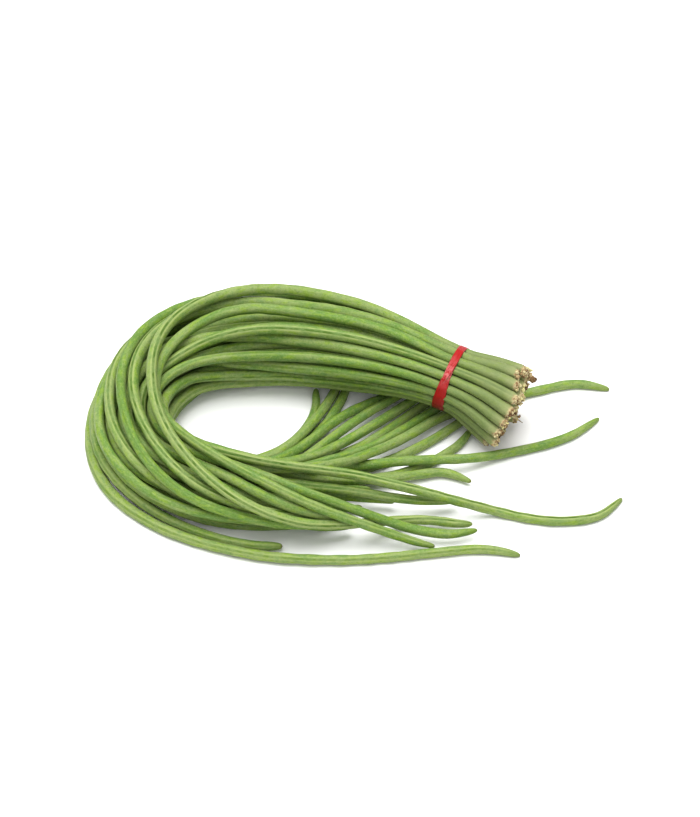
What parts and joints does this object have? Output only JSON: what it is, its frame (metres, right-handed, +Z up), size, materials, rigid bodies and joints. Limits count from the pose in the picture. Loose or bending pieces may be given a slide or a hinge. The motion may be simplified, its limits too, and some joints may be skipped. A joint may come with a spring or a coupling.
{
  "type": "yardlong bean bunch",
  "caption": "Bunch of long slender green bean pods, tied near the stem ends with a plain band and folded round into an open loop, lying on a surface.",
  "frame": {"origin": "centre of the bunch's box, at its lowest point, on the surface that it lies on", "axes": "+X along the loop's long side towards the stem ends, +Y towards the tied side, +Z up"},
  "size_m": [0.3556, 0.242, 0.0612],
  "materials": {
    "pod_skin": "matte green bean skin with fine grooves, lighter ridges and dry brown stem ends",
    "band_film": "smooth stretched red rubber, slightly glossy"
  },
  "bodies": {
    "root": {"pod_01": "pod_skin", "pod_02": "pod_skin", "pod_03": "pod_skin", "pod_04": "pod_skin", "pod_05": "pod_skin", "pod_06": "pod_skin", "pod_07": "pod_skin", "pod_08": "pod_skin", "pod_09": "pod_skin", "pod_10": "pod_skin", "pod_11": "pod_skin", "pod_12": "pod_skin", "pod_13": "pod_skin", "pod_14": "pod_skin", "pod_15": "pod_skin", "pod_16": "pod_skin", "pod_17": "pod_skin", "pod_18": "pod_skin", "pod_19": "pod_skin", "pod_20": "pod_skin", "pod_21": "pod_skin", "pod_22": "pod_skin", "pod_23": "pod_skin", "pod_24": "pod_skin", "pod_25": "pod_skin", "pod_26": "pod_skin", "pod_27": "pod_skin", "pod_28": "pod_skin", "pod_29": "pod_skin", "pod_30": "pod_skin", "pod_31": "pod_skin", "pod_32": "pod_skin", "pod_33": "pod_skin", "tie_band": "band_film"}
  },
  "joints": []
}
